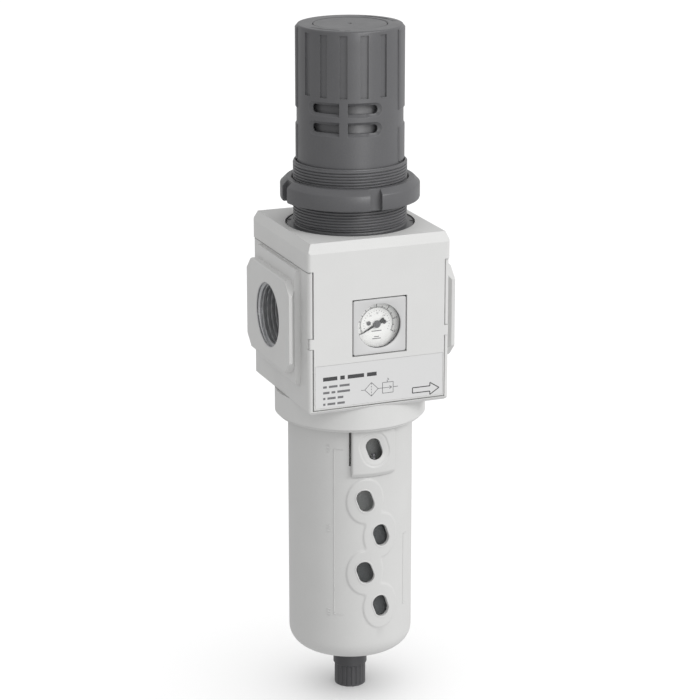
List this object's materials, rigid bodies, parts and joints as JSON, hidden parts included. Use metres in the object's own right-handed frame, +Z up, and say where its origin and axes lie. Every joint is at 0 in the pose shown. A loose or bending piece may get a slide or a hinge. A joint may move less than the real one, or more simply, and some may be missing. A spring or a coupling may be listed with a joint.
{
  "type": "filter pressure regulator",
  "caption": "Line-mounted compressed-air filter and pressure regulator with locking knob, built-in gauge, twist-lock bowl and drain.",
  "frame": {"origin": "lowest point of the drain knob, on the upright axis of the bowl and knob", "axes": "+Z up towards the knob, -Y towards the front with the gauge, +X along the flow from the inlet to the outlet"},
  "size_m": [0.09, 0.08, 0.3549],
  "materials": {
    "alloy": "turned aluminium",
    "bezel": "pale moulded plastic",
    "brass": "turned brass",
    "bronze_washer": "natural acetal",
    "cast_light": "satin light-grey powder coat on die-cast metal",
    "clear": "clear polycarbonate",
    "dial": "white printed aluminium",
    "drain_dark": "near-black moulded plastic",
    "element": "white sintered polyethylene",
    "film": "light-grey printed film",
    "lens": "clear acrylic",
    "pointer": "matt black paint",
    "rubber": "black nitrile rubber",
    "shell_dark": "fine-grained dark-grey glass-filled plastic",
    "shell_light": "fine-grained light-grey moulded plastic",
    "spring_steel": "drawn spring wire",
    "steel": "zinc-plated steel"
  },
  "bodies": {
    "housing": {"body": "cast_light", "cover": "shell_light", "label": "film", "bonnet": "shell_dark", "thrust_washer": "bronze_washer", "regulating_spring": "spring_steel", "diaphragm": "rubber", "valve_seat": "brass", "valve_spring": "spring_steel", "valve_guide": "brass", "guide_seal": "rubber", "gauge_case": "drain_dark", "gauge_bezel": "bezel", "gauge_dial": "dial", "gauge_lens": "lens", "bourdon_tube": "brass", "dial_screws": "steel", "gauge_seal": "rubber", "rear_plate": "shell_light", "rear_plug": "brass", "rear_plug_seal": "rubber", "deflector": "shell_dark", "filter_element": "element", "element_gaskets": "rubber", "baffle": "drain_dark", "centre_rod": "steel"},
    "panel_nut": {"ring_nut": "shell_dark"},
    "screw": {"adjusting_screw": "steel", "screw_circlip": "steel"},
    "knob": {"knob": "shell_dark", "knob_cap": "shell_dark"},
    "plate": {"spring_plate": "steel"},
    "valve": {"pressure_plate": "alloy", "backing_plate": "alloy", "valve_stem": "steel", "valve_poppet": "brass", "valve_washer": "rubber"},
    "pointer": {"gauge_pointer": "pointer", "gauge_pinion": "brass"},
    "sector": {"gauge_sector": "brass"},
    "seal_ring": {"bowl_seal": "rubber"},
    "bowl_unit": {"bowl": "clear", "bowl_guard": "cast_light", "slider_spring": "spring_steel", "drain_body": "drain_dark", "drain_nut": "drain_dark", "drain_washer": "rubber", "drain_spring": "spring_steel"},
    "lock": {"lock_slider": "shell_light"},
    "drain_grip": {"drain_knob": "drain_dark"},
    "drain_valve": {"drain_plunger": "brass"}
  },
  "joints": [
    {"name": "panel_nut_turn", "type": "hinge", "parent": "housing", "child": "panel_nut", "pos_m": [0, 0, 0.2665], "axis": [0, 0, 1], "continuous": true},
    {"name": "knob_turn", "type": "hinge", "parent": "housing", "child": "screw", "pos_m": [0, 0, 0.329], "axis": [0, 0, -1], "range_deg": [0, 1800]},
    {"name": "knob_pull", "type": "slide", "parent": "screw", "child": "knob", "axis": [0, 0, 1], "range_m": [0, 0.005]},
    {"name": "plate_travel", "type": "slide", "parent": "housing", "child": "plate", "axis": [0, 0, -1], "range_m": [0, 0.01], "deforming": ["regulating_spring"]},
    {"name": "valve_lift", "type": "slide", "parent": "housing", "child": "valve", "axis": [0, 0, -1], "range_m": [0, 0.0025], "stiffness_N_per_m": 900, "springref_m": -0.004, "deforming": ["valve_spring", "diaphragm"]},
    {"name": "gauge_pointer_turn", "type": "hinge", "parent": "housing", "child": "pointer", "pos_m": [0, -0.0357, 0.209], "axis": [0, 1, 0], "range_deg": [0, 234]},
    {"name": "gauge_sector_turn", "type": "hinge", "parent": "housing", "child": "sector", "pos_m": [0, -0.032, 0.2017], "axis": [0, 1, 0], "range_deg": [-46.8, 0]},
    {"name": "bowl_turn", "type": "hinge", "parent": "housing", "child": "seal_ring", "pos_m": [0, 0, 0.16], "axis": [0, 0, 1], "range_deg": [0, 45]},
    {"name": "bowl_drop", "type": "slide", "parent": "seal_ring", "child": "bowl_unit", "axis": [0, 0, -1], "range_m": [0, 0.15]},
    {"name": "lock_slide", "type": "slide", "parent": "bowl_unit", "child": "lock", "axis": [0, 0, -1], "range_m": [0, 0.0045], "stiffness_N_per_m": 300, "springref_m": -0.004, "deforming": ["slider_spring"]},
    {"name": "drain_turn", "type": "hinge", "parent": "bowl_unit", "child": "drain_grip", "pos_m": [0, 0, 0.005], "axis": [0, 0, -1], "range_deg": [0, 180]},
    {"name": "drain_open", "type": "slide", "parent": "bowl_unit", "child": "drain_valve", "axis": [0, 0, 1], "range_m": [0, 0.0015], "deforming": ["drain_spring"]}
  ],
  "couplings": [
    {"joint": "plate_travel", "follows": "knob_turn", "m_per_rad": 0.00031831},
    {"joint": "gauge_sector_turn", "follows": "gauge_pointer_turn", "ratio": -0.2},
    {"joint": "drain_open", "follows": "drain_turn", "m_per_rad": 0.00047746}
  ]
}
